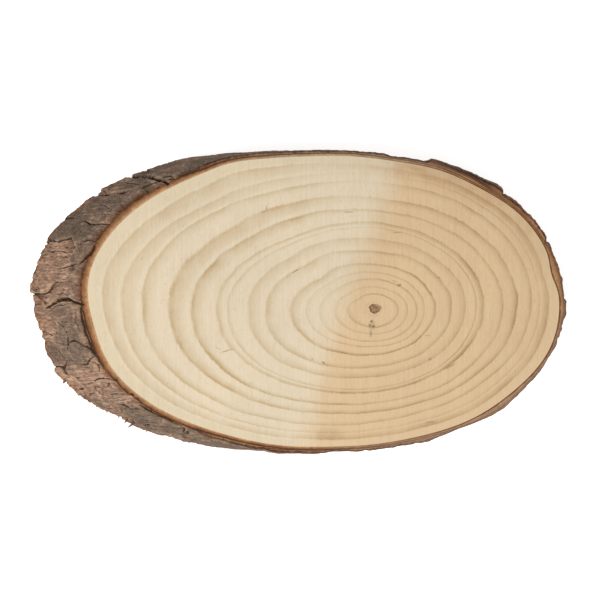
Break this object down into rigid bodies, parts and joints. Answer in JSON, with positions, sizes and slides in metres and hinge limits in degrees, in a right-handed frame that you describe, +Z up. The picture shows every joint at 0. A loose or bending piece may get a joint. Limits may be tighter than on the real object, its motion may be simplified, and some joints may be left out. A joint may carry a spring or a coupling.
{
  "type": "wood slice",
  "caption": "Oval slice sawn aslant from a small trunk, with flat ringed faces and a rim of plated, cracked bark.",
  "frame": {"origin": "middle of the bounding box, on the surface that the slice lies on", "axes": "+X along the oval's long axis, towards the end where the bark runs in under the slice; +Y across it; +Z up"},
  "size_m": [0.2704, 0.1526, 0.02],
  "materials": {
    "wood": "matt sawn softwood, pale cream to tan with darker growth rings",
    "bark": "rough matt bark, grey-brown plates over orange-brown inner bark"
  },
  "bodies": {
    "root": {"wood_disc": "wood", "bark": "bark"}
  },
  "joints": []
}
